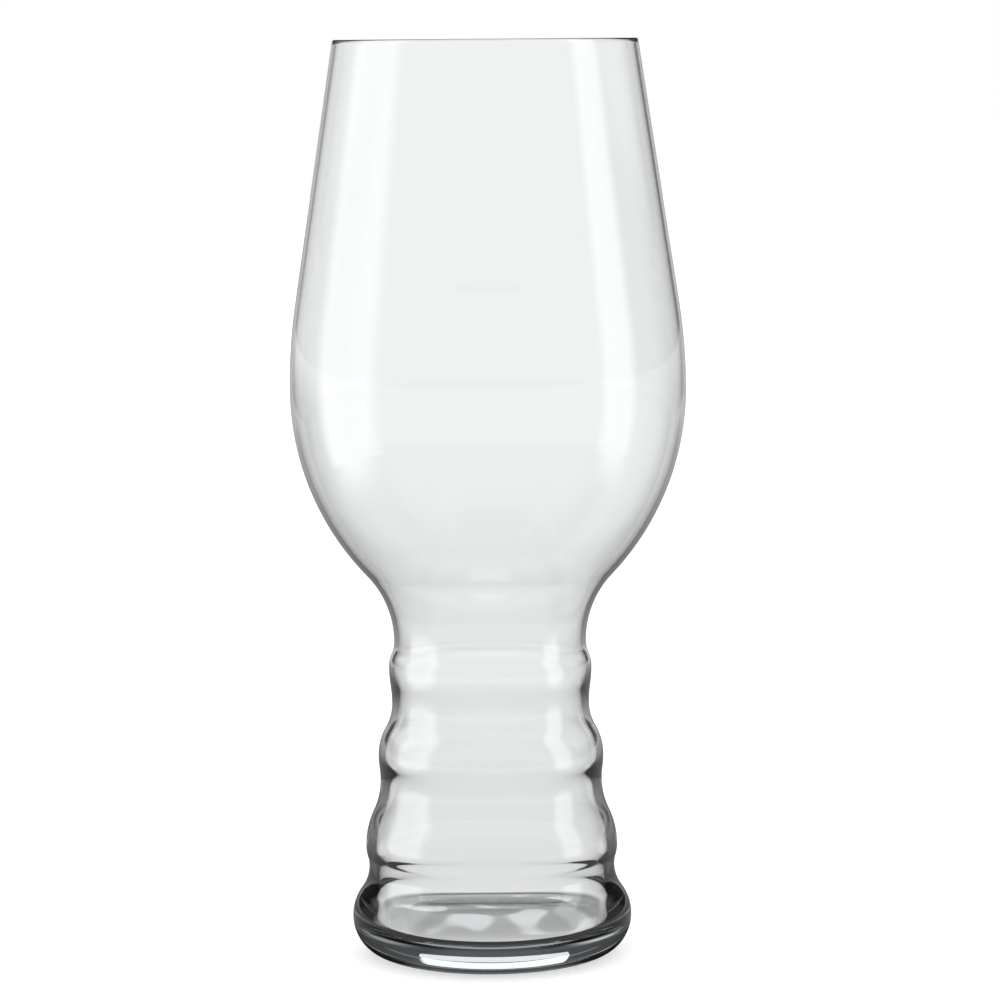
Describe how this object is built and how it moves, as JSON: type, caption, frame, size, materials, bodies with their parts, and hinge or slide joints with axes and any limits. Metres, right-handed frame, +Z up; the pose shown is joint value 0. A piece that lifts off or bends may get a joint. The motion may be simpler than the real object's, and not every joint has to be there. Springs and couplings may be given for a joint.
{
  "type": "beer glass",
  "caption": "Clear IPA beer glass: a tall bowl that narrows to the rim, on a hollow ribbed stem and a thick rounded foot, for serving a drink.",
  "frame": {"origin": "on the table, at the middle of the ring that the foot stands on", "axes": "+Z up along the axis that the glass is turned about; X and Y are any two level directions, since the glass is round"},
  "size_m": [0.0792, 0.0792, 0.184],
  "materials": {
    "clear_glass": "clear, colourless, fire-polished"
  },
  "bodies": {
    "root": {"bowl": "clear_glass", "stem": "clear_glass", "foot": "clear_glass"}
  },
  "joints": []
}
